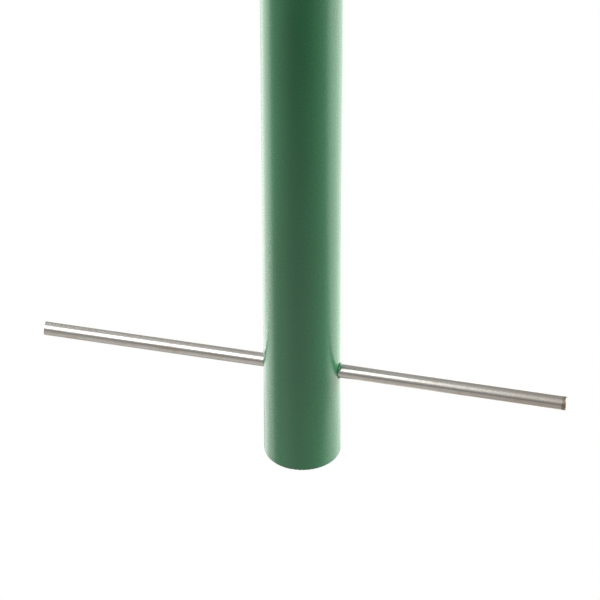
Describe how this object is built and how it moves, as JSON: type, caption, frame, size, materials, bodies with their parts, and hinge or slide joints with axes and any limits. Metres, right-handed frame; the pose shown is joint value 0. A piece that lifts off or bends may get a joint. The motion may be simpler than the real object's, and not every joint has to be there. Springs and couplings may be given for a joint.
{
  "type": "post driver",
  "caption": "Hand post driver: a green steel tube, closed and weighted at the head, with a loose bare steel cross bar through the head as the two-handed grip.",
  "frame": {"origin": "middle of the head's flat face, on the tube's axis, where the driver stands", "axes": "+Z along the tube from the closed head to the open mouth, X along the cross bar"},
  "size_m": [0.612, 0.0888, 0.8],
  "materials": {
    "green_paint": "glossy powder coat, moss green",
    "mild_steel": "turned, lightly oiled",
    "hardened_steel": "hardened, dark, dented by posts",
    "drawn_steel": "cold drawn, bare, semi-bright",
    "brass": "turned",
    "spring_steel": "drawn wire, oiled",
    "zinc_plate": "bright zinc",
    "black_oxide": "black oxide, oiled",
    "rubber": "matt black"
  },
  "bodies": {
    "driver": {"driver_tube": "green_paint", "head_plate": "green_paint", "head_weld_bead": "green_paint", "head_weight": "mild_steel", "strike_disc": "hardened_steel"},
    "bar": {"cross_bar": "drawn_steel"},
    "pad": {"brake_pad": "brass"},
    "spring_seat": {"spring_seat_washer": "zinc_plate", "brake_spring": "spring_steel"},
    "screw": {"brake_screw": "black_oxide"},
    "plug": {"dust_plug": "rubber"}
  },
  "joints": [
    {"name": "bar_slide", "type": "slide", "parent": "driver", "child": "bar", "axis": [1, 0, 0], "range_m": [-0.355, 0.355]},
    {"name": "pad_press", "type": "slide", "parent": "driver", "child": "pad", "axis": [0, 0, 1], "range_m": [-0.002, 0], "stiffness_N_per_m": 12000, "deforming": ["brake_spring"]},
    {"name": "screw_feed", "type": "slide", "parent": "driver", "child": "spring_seat", "axis": [0, 0, 1], "range_m": [-0.004, 0.002], "deforming": ["brake_spring"]},
    {"name": "screw_turn", "type": "hinge", "parent": "spring_seat", "child": "screw", "pos_m": [0, 0, 0.075], "axis": [0, 0, 1], "range_deg": [-721, 361]},
    {"name": "plug_pull", "type": "slide", "parent": "driver", "child": "plug", "axis": [0, 0, -1], "range_m": [0, 0.015]}
  ],
  "couplings": [
    {"joint": "screw_turn", "follows": "screw_feed", "rad_per_m": 3141.6}
  ]
}
